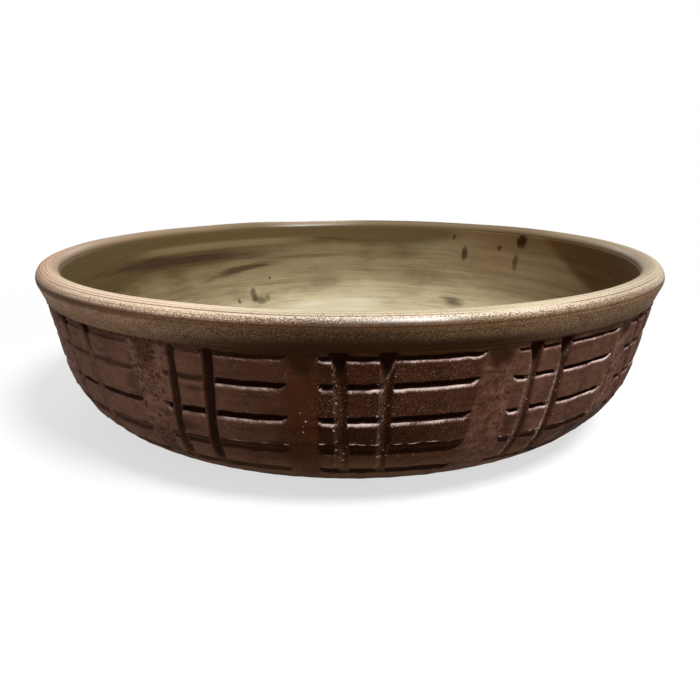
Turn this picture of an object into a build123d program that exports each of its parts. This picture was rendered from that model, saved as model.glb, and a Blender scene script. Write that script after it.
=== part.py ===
from build123d import *
import math
import os

# A suiban: a shallow thrown stoneware basin for arranging flowers, with a lattice carved round its wall.
# Millimetres, +Z up. The origin is on the table under the middle of the basin, and the front faces -Y.

# Vessel
RIM_DIAMETER = 300.0
HEIGHT = 80.0
LIP_RADIUS = 5.25
WALL_LEAN = 11.6  # degrees that the wall leans out from upright
WALL_THICKNESS = 9.0
COLLAR_DEPTH = 14.3  # from the top of the lip down to the carved wall
BELLY_RADIUS = 43.0  # outside turn from the wall to the underside
COVE_RADIUS = 34.0  # inside turn from the wall to the floor
FLOOR_THICKNESS = 9.0
GLAZE_COAT = 0.6

# Foot ring
FOOT_HEIGHT = 2.6
FOOT_WIDTH = 8.0
FOOT_INSET = 1.5  # from the start of the belly turn in to the ring
FOOT_ROUND = 0.8

# Carved lattice: panels round the wall, each with level rows that two upright bars cross
PANEL_COUNT = 14
PANEL_GAP = 10.5  # plain wall between two panels, along the collar edge
ROW_COUNT = 5
ROW_LEAD = 7.5  # from the start of the rows to the first bar, along the collar edge
ROW_DEPTH = 2.0
TOP_ROW_DROP = 2.8  # from the collar edge down to the middle of the top row
BOTTOM_ROW_RISE = 13.6  # from the underside up to the middle of the bottom row
BAR_SPACING = 15.5  # between the two bars of a panel, along the collar edge
BAR_WIDTH = 5.2
BAR_DEPTH = 1.8
BAR_DROP = 0.6  # from the collar edge down to the top of the bars
BAR_OVERRUN = 3.2  # that the bars reach below the bottom row

# Degrees that each panel strays from even spacing, as it was cut by eye, from the front one to the right
PANEL_STRAY = (-1.4, 0.7, 1.5, 0.4, -0.8, -1.2, 0.3, 1.1, -0.2, -1.0, 0.6, 0.9, 0.0, -0.7)
FRONT = -90.0  # direction of -Y


def toward(centre, radius, angle):
    """Point at a radius and an angle in degrees from a centre, as (distance from the axis, height)."""
    turn = math.radians(angle)
    return centre[0] + radius * math.cos(turn), centre[1] + radius * math.sin(turn)


def beside_lip(outward, height):
    """Point at a height on the line that leans with the wall and passes the lip's centre at a distance."""
    lean = math.radians(WALL_LEAN)
    reach = (outward + (height - lip_centre[1]) * math.sin(lean)) / math.cos(lean)
    return lip_centre[0] + reach, height


# Section of the vessel: the wall's two faces run on tangent into the lip, the cove and the belly.
lip_centre = (RIM_DIAMETER / 2 - LIP_RADIUS, HEIGHT - LIP_RADIUS)
floor_height = FOOT_HEIGHT + FLOOR_THICKNESS
outer_face = WALL_THICKNESS - LIP_RADIUS
collar_edge = beside_lip(outer_face, HEIGHT - COLLAR_DEPTH)
belly_centre = beside_lip(outer_face - BELLY_RADIUS, FOOT_HEIGHT + BELLY_RADIUS)
cove_centre = beside_lip(-LIP_RADIUS - COVE_RADIUS, floor_height + COVE_RADIUS)
belly_top = toward(belly_centre, BELLY_RADIUS, -WALL_LEAN)

# The collar is the straight line from the collar edge that touches the lip's outer side.
edge_distance = math.dist(lip_centre, collar_edge)
edge_angle = math.degrees(math.atan2(collar_edge[1] - lip_centre[1], collar_edge[0] - lip_centre[0]))
collar_angle = edge_angle + math.degrees(math.acos(LIP_RADIUS / edge_distance))
lip_inner_angle = 180 - WALL_LEAN


def liner_line(depth):
    """Floor, cove and inner wall at a depth under the glazed face, from the axis out to the lip."""
    floor_edge = toward(cove_centre, COVE_RADIUS + depth, -90)
    cove_top = toward(cove_centre, COVE_RADIUS + depth, -WALL_LEAN)
    lip_start = toward(lip_centre, LIP_RADIUS - depth, lip_inner_angle)
    Line((0, floor_height - depth), floor_edge)
    CenterArc(cove_centre, COVE_RADIUS + depth, -90, 90 - WALL_LEAN)
    Line(cove_top, lip_start)


def rim_line(depth):
    """Lip and collar at a depth under the glazed face, from the inner wall over to the collar edge."""
    collar_top = toward(lip_centre, LIP_RADIUS - depth, collar_angle)
    collar_foot = toward(collar_edge, -depth, collar_angle)
    CenterArc(lip_centre, LIP_RADIUS - depth, collar_angle, lip_inner_angle - collar_angle)
    Line(collar_top, collar_foot)


def across_coat(centre, radius, angle):
    """Edge of a glaze coat, from its outer face straight in to the clay."""
    Line(toward(centre, radius, angle), toward(centre, radius - GLAZE_COAT, angle))


def wall_slope(height):
    """Degrees below level that the outer wall faces at a height."""
    if height >= belly_top[1]:
        return WALL_LEAN
    return math.degrees(math.asin((belly_centre[1] - height) / BELLY_RADIUS))


def wall_point(height, outward):
    """Point at a distance straight out from the outer wall at a height."""
    if height >= belly_top[1]:
        return toward(beside_lip(outer_face, height), outward, -WALL_LEAN)
    return toward(belly_centre, BELLY_RADIUS + outward, -wall_slope(height))


def bar_line(outward):
    """Line along the outer wall at a distance from it, from the top of the bars to their bottom."""
    if bar_top > belly_top[1]:
        Line(wall_point(bar_top, outward), wall_point(belly_top[1], outward))
    top_slope = wall_slope(bar_top)
    CenterArc(belly_centre, BELLY_RADIUS + outward, -top_slope, top_slope - wall_slope(bar_bottom))


# Places of the carving. Angles run to the right round the wall, seen from outside.
panel_pitch = 360 / PANEL_COUNT
per_degree = math.radians(1) * collar_edge[0]
row_sweep = panel_pitch - PANEL_GAP / per_degree
bar_angles = (ROW_LEAD / per_degree, (ROW_LEAD + BAR_SPACING) / per_degree)
top_row = collar_edge[1] - TOP_ROW_DROP
bottom_row = FOOT_HEIGHT + BOTTOM_ROW_RISE
row_heights = [top_row + (bottom_row - top_row) * row / (ROW_COUNT - 1) for row in range(ROW_COUNT)]
bar_top = collar_edge[1] - BAR_DROP
bar_bottom = bottom_row - BAR_OVERRUN
panel_angles = [
    FRONT + panel * panel_pitch + PANEL_STRAY[panel % len(PANEL_STRAY)] - bar_angles[0]
    for panel in range(PANEL_COUNT)
]

with BuildPart() as panel_cut:
    # Level rows, cut to a V by a square bar on edge
    for row_height in row_heights:
        with BuildSketch(Plane.XZ):
            with Locations(wall_point(row_height, 0)):
                side = ROW_DEPTH * math.sqrt(2)
                Rectangle(side, side, rotation=45 - wall_slope(row_height))
        revolve(axis=Axis.Z, revolution_arc=row_sweep)
    # Upright bars, cut flat along the wall and the belly
    for bar_angle in bar_angles:
        with BuildSketch(Plane.XZ.rotated((0, 0, bar_angle))):
            with BuildLine():
                bar_line(-BAR_DEPTH)
                bar_line(BAR_DEPTH)
                for height in (bar_top, bar_bottom):
                    Line(wall_point(height, -BAR_DEPTH), wall_point(height, BAR_DEPTH))
            make_face()
        extrude(amount=BAR_WIDTH / 2, both=True)

with BuildPart() as stoneware_body:
    with BuildSketch(Plane.XZ):
        with BuildLine():
            Line((0, FOOT_HEIGHT), (belly_centre[0], FOOT_HEIGHT))
            CenterArc(belly_centre, BELLY_RADIUS, -90, 90 - WALL_LEAN)
            Line(belly_top, collar_edge)
            across_coat(collar_edge, 0, collar_angle)
            rim_line(GLAZE_COAT)
            liner_line(GLAZE_COAT)
            Line((0, floor_height - GLAZE_COAT), (0, FOOT_HEIGHT))
        make_face()
    revolve(axis=Axis.Z)
    with Locations([Location((0, 0, 0), (0, 0, angle)) for angle in panel_angles]):
        add(panel_cut.part, mode=Mode.SUBTRACT)

with BuildPart() as foot_ring:
    with BuildSketch(Plane.XZ):
        with Locations((belly_centre[0] - FOOT_INSET, 0)):
            Rectangle(FOOT_WIDTH, FOOT_HEIGHT, align=(Align.MAX, Align.MIN))
    revolve(axis=Axis.Z)
    fillet(foot_ring.edges().group_by(Axis.Z)[0], FOOT_ROUND)

with BuildPart() as inside_glaze:
    with BuildSketch(Plane.XZ):
        with BuildLine():
            liner_line(0)
            across_coat(lip_centre, LIP_RADIUS, lip_inner_angle)
            liner_line(GLAZE_COAT)
            Line((0, floor_height - GLAZE_COAT), (0, floor_height))
        make_face()
    revolve(axis=Axis.Z)

with BuildPart() as rim_glaze:
    with BuildSketch(Plane.XZ):
        with BuildLine():
            rim_line(0)
            across_coat(collar_edge, 0, collar_angle)
            rim_line(GLAZE_COAT)
            across_coat(lip_centre, LIP_RADIUS, lip_inner_angle)
        make_face()
    revolve(axis=Axis.Z)

stoneware_body.part.label = "stoneware_body"
foot_ring.part.label = "foot_ring"
inside_glaze.part.label = "inside_glaze"
rim_glaze.part.label = "rim_glaze"

os.makedirs("parts", exist_ok=True)
for piece in (stoneware_body.part, foot_ring.part, inside_glaze.part, rim_glaze.part):
    export_step(piece, f"parts/{piece.label}.step")
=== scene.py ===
import math

import bpy
import numpy as np
from bpy.props import FloatProperty, FloatVectorProperty, PointerProperty
from bpy.types import Operator, Panel, PropertyGroup
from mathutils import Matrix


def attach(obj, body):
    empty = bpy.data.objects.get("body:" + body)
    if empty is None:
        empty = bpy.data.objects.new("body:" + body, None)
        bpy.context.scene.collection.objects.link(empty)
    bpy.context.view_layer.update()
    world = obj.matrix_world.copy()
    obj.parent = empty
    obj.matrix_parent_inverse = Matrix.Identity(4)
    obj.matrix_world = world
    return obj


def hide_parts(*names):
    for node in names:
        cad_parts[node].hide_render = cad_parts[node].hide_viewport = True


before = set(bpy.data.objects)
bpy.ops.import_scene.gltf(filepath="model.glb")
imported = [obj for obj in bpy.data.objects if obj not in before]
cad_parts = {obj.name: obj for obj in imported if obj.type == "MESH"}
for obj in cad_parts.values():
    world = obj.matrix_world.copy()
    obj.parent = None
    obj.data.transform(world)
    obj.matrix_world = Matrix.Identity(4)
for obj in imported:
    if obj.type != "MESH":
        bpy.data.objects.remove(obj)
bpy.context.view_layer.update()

bl_info = {
    "name": "Ikebana Suiban",
    "version": (1, 0, 0),
    "blender": (4, 5, 0),
    "location": "View3D > Sidebar > Suiban",
    "description": "Makes a carved stoneware basin for arranging flowers",
    "category": "Add Mesh",
}

# Metres, +Z up, in the frame of the CAD. Angles round the basin run to the right from its front, which
# faces -Y.
MM = 0.001
FULL_TURN = 2 * math.pi

# Metres from the axis to the outer wall and the liner, where widths are turned into angles
WALL_RADIUS = 0.146
INNER_RADIUS = 0.136

# Carved panels, each set out from its first bar. Angles run to the right round the wall, in degrees.
PANEL_COUNT = 14
PANEL_STRAY = (-1.4, 0.7, 1.5, 0.4, -0.8, -1.2, 0.3, 1.1, -0.2, -1.0, 0.6, 0.9, 0.0, -0.7)

# How each panel was cut: (top, bottom) angles of the rows' start, the two bars and the rows' end, then of
# the two bars the widths in millimetres, the depths as shares of the full depth and how dark their stain and
# painted shade are
CUTS = (
    ((-2.9, -3.6), (-0.1, 0.3), (6.3, 6.0), (20.0, 17.8), (5.6, 5.4), (0.75, 0.90), (0.40, 0.60)),
    ((-3.0, -3.6), (0.1, -0.1), (5.6, 5.3), (19.3, 16.4), (5.6, 5.8), (1.00, 1.00), (0.75, 0.75)),
    ((-3.6, -3.9), (0.1, 0.1), (5.8, 5.6), (18.6, 17.1), (4.8, 5.0), (0.90, 0.80), (0.40, 0.40)),
    ((-0.6, -3.2), (1.2, -1.1), (7.0, 4.9), (18.1, 17.3), (4.9, 5.4), (1.10, 1.20), (0.80, 0.90)),
    ((-2.9, -3.6), (0.2, -0.8), (7.9, 6.2), (18.2, 19.1), (5.4, 5.2), (0.70, 0.80), (0.50, 0.60)),
)
CUT_OF_PANEL = (0, 1, 2, 0, 3, 1, 4, 2, 0, 3, 1, 2, 4, 3)

# Heights in millimetres of the upper and lower edge of each carved row
ROWS = ((64.8, 61.5), (54.6, 50.5), (41.6, 37.3), (30.3, 24.6), (17.8, 13.6))
# Of each row: its share of the full depth, where its lit ledge starts down its face, and how far its lower
# and upper edges are rubbed and given a painted highlight
ROW_CUTS = (
    (0.9, 0.70, 0.9, 0.0),
    (1.0, 0.70, 1.0, 0.0),
    (1.0, 0.70, 1.0, 0.0),
    (0.8, 0.97, 0.05, 1.0),
    (0.5, 0.98, 0.0, 0.15),
)
# Of each panel: how light its ledges are rubbed and painted with a highlight, how many white flecks are in
# its bars, and how much thinner its rows are cut
LEDGES = (1.0, 0.90, 0.5, 0.8, 0.55, 0.9, 0.45, 0.7, 0.85, 0.5, 0.75, 0.6, 0.22, 0.62)
FLECKS = (0.85, 0.55, 0.4, 0.8, 0.3, 0.6, 0.7, 0.4, 0.9, 0.3, 0.5, 0.6, 0.15, 0.2)
SLIMNESS = (0.06, 0.30, 0.2, 0.1, 0.0, 0.15, 0.25, 0.05, 0.1, 0.2, 0.0, 0.15, 0.12, 0.05)
# Of each panel: how much fainter its two lowest rows are cut, its top row, its second row, and the ends of
# those two rows left of the second bar
FAINT_LOW = (0.0, 0.20, 0.3, 0.2, 0.4, 0.1, 0.5, 0.3, 0.1, 0.4, 0.2, 0.3, 0.1, 0.35)
FAINT_TOP = (0.1, 0.2, 0.3, 0.0, 0.4, 0.2, 0.3, 0.1, 0.0, 0.4, 0.2, 0.3, 0.6, 0.45)
FAINT_NEXT = (0.0, 0.0, 0.1, 0.0, 0.2, 0.0, 0.1, 0.0, 0.0, 0.3, 0.0, 0.1, 0.6, 0.0)
FAINT_ENDS = (0.0, 0.0, 0.0, 0.0, 0.3, 0.0, 0.0, 0.2, 0.0, 0.4, 0.0, 0.0, 0.0, 0.65)
# The same for the rows in order from the top, and which of them is the widest
FAINT_ROWS = (FAINT_TOP, FAINT_NEXT, (0.0,) * PANEL_COUNT, FAINT_LOW, FAINT_LOW)
WIDE_ROW = 3
# Of each panel: how light the torn left sides of its bars are, partly a painted highlight on their lit side
FROST = (0.19, 0.45, 0.3, 0.2, 0.0, 0.4, 0.25, 0.3, 0.2, 0.0, 0.35, 0.3, 0.2, 0.0)
# Of the gap after each panel: how many white flecks are in it
GRIT = (0.0, 0.5, 0.0, 0.0, 0.8, 0.0, 0.0, 0.6, 0.0, 0.0, 0.7, 0.0, 0.0, 1.0)

# Levels of the carved wall: metres down from the collar edge, then shares of each row, of the block below it
# and of the plain wall under the last row
COLLAR_STOPS = (0.0, 0.00035)
ROW_STOPS = (-0.12, -0.06, 0.0, 0.05, 0.11, 0.20, 0.32, 0.46, 0.58, 0.68, 0.72, 0.82, 0.92, 1.0, 1.06, 1.16)
BLOCK_STOPS = (0.33, 0.67)
FOOT_STOPS = (0.06, 0.14, 0.24, 0.36, 0.5, 0.64, 0.8, 0.92, 1.0)

# Columns of the carved wall in each stretch of a panel: stub, bar, between the bars, bar, run, bow and gap
STRETCH_COLUMNS = (7, 10, 8, 10, 10, 7, 8)
PANEL_LINES = len(STRETCH_COLUMNS)
# Which of a panel's upright lines is its start, the left edge of each bar, and its end
START, FIRST_BAR, SECOND_BAR, END = 0, 1, 3, 6
BOW_DEGREES = 1.7  # from where the rows start to narrow to their end
LEAN_END = 1.15  # where the upright lines stop leaning, as a share of the way to the foot of the last row

# Sizes of the rows and bars in metres
ROW_DRIFT = 0.00035
ROW_START_BOW = 0.0024
ROW_END_BOW = 0.0038
SCOOP_LENGTH = 0.0110
BAR_FADE = 0.009
BAR_ROUNDING = 0.0012

# Stretches in metres down from the collar edge over which parts of a bar start or stop
SCOOP_STARTS = (0.0, 0.0012)
SCOOP_STOPS = (0.0098, 0.0108)
BRIM_STARTS = (0.0026, 0.004)
BRIM_STOPS = (0.0092, 0.0106)
BAR_DEEPENS = (0.003, 0.010)
EDGES_WEAR = (0.003, 0.008)
CLAY_TEARS = (0.006, 0.012)
FLECKS_START = (0.004, 0.009)

# Stretches in metres over which the washed panels start and stop: down from the collar edge, down from the
# foot of the last row, in from the rows' start and in from their end
WASH_TOP = (0.0005, 0.002)
WASH_FOOT = (0.0, 0.004)
WASH_START = (-0.0004, 0.0012)
WASH_END = (-0.0004, 0.0008)

# Stretches in metres over which the wall settles below the collar edge, and gets calmer by the last row
WALL_SETTLES = (0.0, 0.0015)
WALL_CALMS = (-0.004, 0.008)

# Glaze that ran below the collar in metres: its edge, how that wavers, and the lengths in the gaps in turn,
# the width and the thickness of the runs
GLAZE_EDGE = (0.0011, 0.0021)
GLAZE_WAVER = 0.0003
BIB_LENGTHS = (0.0105, 0.0085, 0.0125, 0.007, 0.010, 0.0150, 0.0105)
BIB_WIDTH = 0.0066
BIB_THICKNESS = 0.00012

# Splash of white flecks in a gap in metres: how far down it is, and its reach
SPLASH_DROP = 0.0285
SPLASH_REACH = 0.0042

# Numbers stored on the carved wall for its finish: cut holds iron and painted shade in the cuts, and edge
# holds wear and painted highlights on the edges
WALL_VALUES = ("cut", "edge", "fleck", "panel", "bib")

# Hand smoothing of the lip in metres: how far down it shows, how it wavers and wears, and its dip in front
SMOOTHED_DEPTH = 0.012
LIP_WAVER = 0.00012
LIP_WEAR = 0.0003
FRONT_DIP = 0.0006
FRONT_DIP_DEGREES = 12

# Throwing rings on the liner in metres: their two steps up the wall, their height, how far above the floor
# they are full, and the heights over which they stop under the lip
THROW_STEPS = (0.0085, 0.0052)
THROW_HEIGHT = 0.00009
THROW_STARTS = 0.006
THROW_STOPS = (0.068, 0.074)

# Waves that cross a dappled face
DAPPLE_WAVES = 14

# Rings across the underside as shares of the way out to the belly turn, points on each rounding of the
# foot ring, the least angle of its sharp edges, and columns round the turned pieces
UNDERSIDE_STEPS = (0.3, 0.6, 0.88)
ROUNDING_POINTS = 6
SHARP_DEGREES = 50
FOOT_COLUMNS = 240
LINER_COLUMNS = 288
RIM_COLUMNS = 360

# Lines scored round the lip: millimetres over it from its inner edge, and strength
LIP_LINES = ((7.9, 0.4), (9.4, 0.4), (10.5, 0.8), (12.4, 0.4))

# Iron spots on the liner: angle in degrees, height, half width and half height in millimetres, strength
IRON_SPOTS = (
    (128.4, 72.4, 4.2, 5.8, 1.0),
    (145.6, 60.7, 2.5, 5.4, 0.8),
    (135.0, 66.4, 2.0, 2.2, 0.75),
    (129.3, 58.6, 2.6, 6.2, 0.6),
    (149.3, 70.8, 1.4, 2.0, 0.7),
    (-155.3, 42.6, 1.1, 1.2, 0.7),
    (-144.7, 29.5, 1.6, 1.9, 0.7),
    (-149.6, 32.4, 2.8, 5.6, 0.66),
    (-151.2, 28.9, 6.4, 2.9, 0.64),
    (-153.9, 29.9, 2.2, 2.4, 0.5),
    (20.0, 55.0, 3.0, 4.4, 0.7),
    (-38.0, 66.0, 2.2, 3.0, 0.7),
    (64.0, 40.0, 2.2, 2.6, 0.6),
)

# Brush drags of iron on the liner: angle in degrees, height in millimetres, half length in degrees, half
# height and rise to the right in millimetres, strength
IRON_DRAGS = (
    (-128.0, 60.4, 27.0, 3.4, 1.6, 0.9),
    (-131.0, 60.2, 13.0, 2.4, 0.9, 0.7),
    (-112.0, 60.0, 16.0, 2.6, 2.0, 0.5),
    (-147.6, 50.4, 11.5, 2.2, -3.9, 0.85),
    (-166.0, 56.0, 12.0, 1.4, -0.6, 0.4),
    (147.3, 28.6, 4.2, 3.6, 0.8, 0.75),
    (-175.5, 67.8, 5.5, 0.9, 0.6, 0.6),
    (-92.0, 52.0, 12.0, 1.8, 0.5, 0.5),
    (38.0, 58.0, 26.0, 2.2, 1.2, 0.8),
    (82.0, 64.0, 9.0, 1.2, -0.6, 0.5),
)

# The floor in metres: half its width, the least share of white light of its own that the camera sees on it,
# and the stretch out from the basin over which that grows to all
FLOOR_HALF = 3.0
FLOOR_GLOW = 0.66
FLOOR_WHITENS = (0.16, 0.5)
# Places of the lights and the camera in metres, the camera's tilt down in radians, and its lens and sensor
# in millimetres
KEY_PLACE = (0.45, -0.72, 1.15)
BACK_PLACE = (-0.10, 1.0, 0.55)
CAMERA_PLACE = (0.0, -0.370, 0.1301)
CAMERA_TILT = 0.2766
CAMERA_LENS = 36.93
CAMERA_SENSOR = 36.0


def length(name, description, default):
    """Property for a size in metres."""
    return FloatProperty(
        name=name, description=description, default=default, min=0.0, precision=5, unit="LENGTH"
    )


def share(name, description, default):
    """Property for a plain number from 0 up."""
    return FloatProperty(name=name, description=description, default=default, min=0.0, precision=3)


def colour(name, description, default):
    """Property for a colour."""
    return FloatVectorProperty(
        name=name, description=description, default=default, size=3, min=0.0, max=1.0, subtype="COLOR"
    )


class SuibanVessel(PropertyGroup):
    rim_diameter: length("Rim Diameter", "Across the outside of the lip", 0.29996)
    height: length("Height", "From the table to the top of the lip", 0.080)
    lip_radius: length("Lip Radius", "Of the half-round lip", 0.00525)
    wall_lean: FloatProperty(
        name="Wall Lean",
        description="How far the wall leans out from upright",
        default=math.radians(11.6),
        subtype="ANGLE",
    )
    wall_thickness: length("Wall Thickness", "Straight through the wall", 0.009)
    collar_depth: length("Collar Depth", "From the top of the lip down to the carving", 0.0143)
    belly_radius: length("Belly Radius", "Of the outside turn from the wall to the underside", 0.043)
    cove_radius: length("Cove Radius", "Of the inside turn from the wall to the floor", 0.034)
    floor_thickness: length("Floor Thickness", "Of the floor over the foot", 0.009)
    glaze_coat: length("Glaze Coat", "Thickness of the glaze coats", 0.0006)
    foot_height: length("Foot Height", "Of the foot ring", 0.0026)
    foot_width: length("Foot Width", "Across the section of the foot ring", 0.008)
    foot_inset: length("Foot Inset", "From the start of the belly turn in to the foot ring", 0.0015)
    foot_round: length("Foot Rounding", "Of the edges that the foot stands on", 0.0008)


class SuibanCarving(PropertyGroup):
    row_depth: length("Row Depth", "Of the level rows", 0.0019)
    bar_depth: length("Bar Depth", "Of the upright bars", 0.0021)
    bar_top: length("Bar Top", "From the collar edge down to the top of the bars", 0.0005)
    bar_foot: length("Bar Foot", "Down the wall to where the bars run out", 0.0575)
    burr: length("Burr", "Height of the clay pushed up beside a cut", 0.00022)
    gap_scrape: length("Gap Scrape", "How far the plain gaps lie below the panels", 0.0002)
    wobble: length("Wobble", "How far an edge strays, as it was cut by hand", 0.00016)
    unevenness: length("Unevenness", "Of the paddled faces between the cuts", 0.00013)
    tear: length("Tear", "Roughness of the clay that the bars tore", 0.0002)


class SuibanFinishes(PropertyGroup):
    iron_wash: colour("Iron Wash", "Wiped over the carved panels", (0.038, 0.0115, 0.0045))
    plain_clay: colour("Plain Clay", "In the gaps", (0.140, 0.066, 0.044))
    # Rosy clay on the left and smoked clay in front are partly painted light: the left painted lighter, the
    # front darker
    rosy_clay: colour("Rosy Clay", "Where the kiln flashed the clay", (0.240, 0.120, 0.082))
    smoked_clay_and_shade: colour("Smoked Clay", "Where the kiln darkened the front", (0.050, 0.0152, 0.0055))
    ash_tan: colour("Ash Tan", "Towards the underside", (0.160, 0.074, 0.036))
    clay_speck: colour("Clay Speck", "Grains that show through the wash", (0.240, 0.138, 0.092))
    # Cut dark is iron, and in the cuts it is also painted shade
    iron_and_shade_dark: colour("Cut Dark", "Iron pooled in the cuts", (0.015, 0.0045, 0.0014))
    # Worn edge is both wear and a painted highlight on the ledges and bar sides
    worn_edge_and_highlight: colour("Worn Edge", "Where the wash broke on an edge", (0.74, 0.56, 0.51))
    bib_dark: colour("Glaze Bib", "Runs of glaze below the collar", (0.025, 0.0095, 0.004))
    lip_cream: colour("Lip Cream", "Ash on top of the lip", (0.74, 0.61, 0.46))
    lip_warm: colour("Lip Warm", "Ash on the lip where the kiln flashed it", (0.80, 0.58, 0.40))
    lip_straw: colour("Lip Straw", "Thinner ash along the top of the lip", (0.50, 0.42, 0.26))
    lip_tan: colour("Lip Tan", "Thinner ash on the inner side of the lip", (0.250, 0.180, 0.106))
    collar_olive: colour("Collar Olive", "Ash glaze on the collar", (0.215, 0.135, 0.074))
    collar_smoke: colour("Collar Smoke", "Collar where the kiln darkened it", (0.062, 0.027, 0.012))
    collar_rose: colour("Collar Rose", "Flashed clay on the collar", (0.580, 0.345, 0.215))
    speck_brown: colour("Speck Brown", "Iron specks in the ash", (0.075, 0.036, 0.016))
    speck_gold: colour("Speck Gold", "Ash specks on the collar", (0.240, 0.145, 0.072))
    # Neck dark is thick glaze, and also painted shade low on the collar and under the lip
    neck_dark_and_shade: colour("Neck Dark", "Glaze where it thickens above the carving", (0.027, 0.011, 0.004))
    # Liner pale is ash glaze, and also painted light low on the wall
    liner_pale: colour("Liner Pale", "Ash glaze low on the inside", (0.500, 0.425, 0.270))
    # Liner milk is pale glaze, and partly a painted highlight low at the back
    liner_milk_and_highlight: colour("Liner Milk", "Ash glaze where it lies thick by the floor", (0.600, 0.550, 0.420))
    liner_olive: colour("Liner Olive", "Ash glaze on the inner wall", (0.225, 0.175, 0.096))
    # Painted shade: the dark right side of the liner under the lip and in the rim's shadow
    liner_painted_shade: colour("Liner Umber", "Where the kiln darkened the liner", (0.084, 0.039, 0.010))
    # Liner brown is thin glaze, and also painted shade high on the wall by the lip
    liner_brown_and_shade: colour("Liner Brown", "Thin glaze under the lip", (0.080, 0.051, 0.019))
    iron_spot: colour("Iron Spot", "Spots of iron on the liner", (0.026, 0.011, 0.003))
    iron_drag: colour("Iron Drag", "Brush drags of iron on the liner", (0.046, 0.025, 0.014))
    bare_clay: colour("Bare Clay", "Of the foot ring", (0.300, 0.200, 0.140))


class SuibanStage(PropertyGroup):
    floor_white: colour("Floor White", "Of the floor as the camera sees it", (0.93, 0.93, 0.93))
    floor_pale: colour("Floor Pale", "Of the floor as the basin sees it", (0.42, 0.42, 0.42))
    fill: share("Fill", "Level of the light from all around", 0.36)
    key_power: FloatProperty(
        name="Key Power", description="Of the soft light above", default=22.0, min=0.0, unit="POWER"
    )
    key_size: length("Key Size", "Across the soft light above", 0.42)
    back_power: FloatProperty(
        name="Back Power", description="Of the soft light behind", default=1.5, min=0.0, unit="POWER"
    )
    back_size: length("Back Size", "Across the soft light behind", 0.36)


def smooth(low, high, value):
    """Share from 0 at low to 1 at high, with no corner at either end."""
    step = np.clip((value - low) / (high - low), 0, 1)
    return step * step * (3 - 2 * step)


def ripple(angle, seed, waves, size):
    """Wobble round the basin from whole numbers of waves, so that it meets itself."""
    phases = np.random.default_rng(seed).uniform(0, FULL_TURN, len(waves))
    total = sum(np.cos(count * angle + phase) for count, phase in zip(waves, phases))
    return size * total / len(waves) ** 0.5


def dapple(angle, along, seed, size, round_counts, down_counts):
    """Dents and swellings over a face, from waves that cross it at random."""
    random = np.random.default_rng(seed)
    total = np.zeros(np.broadcast(angle, along).shape)
    for _ in range(DAPPLE_WAVES):
        round_count = random.integers(*round_counts)
        down_count = random.uniform(*down_counts)
        total += np.cos(round_count * angle + down_count * along + random.uniform(0, FULL_TURN))
    return size * total / math.sqrt(DAPPLE_WAVES / 2)


def bow(distance, reach):
    """Share of full size at a distance in from the end of a cut, which swells like a boat's bow."""
    inward = np.clip(distance / reach, 0, 1)
    return np.sqrt(1 - (1 - inward) ** 2)


def hill(distance, width):
    """Share that is 1 at no distance and falls away to both sides."""
    return np.exp(-((distance / width) ** 2))


def turn(centre, radius, angles):
    """Points of an arc at angles in radians, as rows of (distance from the axis, height)."""
    angles = np.asarray(angles, float)
    return np.stack((centre[0] + radius * np.cos(angles), centre[1] + radius * np.sin(angles)), axis=-1)


def run(start, end, count):
    """Even points from a start to an end, both kept."""
    return np.linspace(start, end, count)


def all_round(count):
    """Even angles once round the basin from the front."""
    return run(0, FULL_TURN, count + 1)[:-1]


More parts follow.
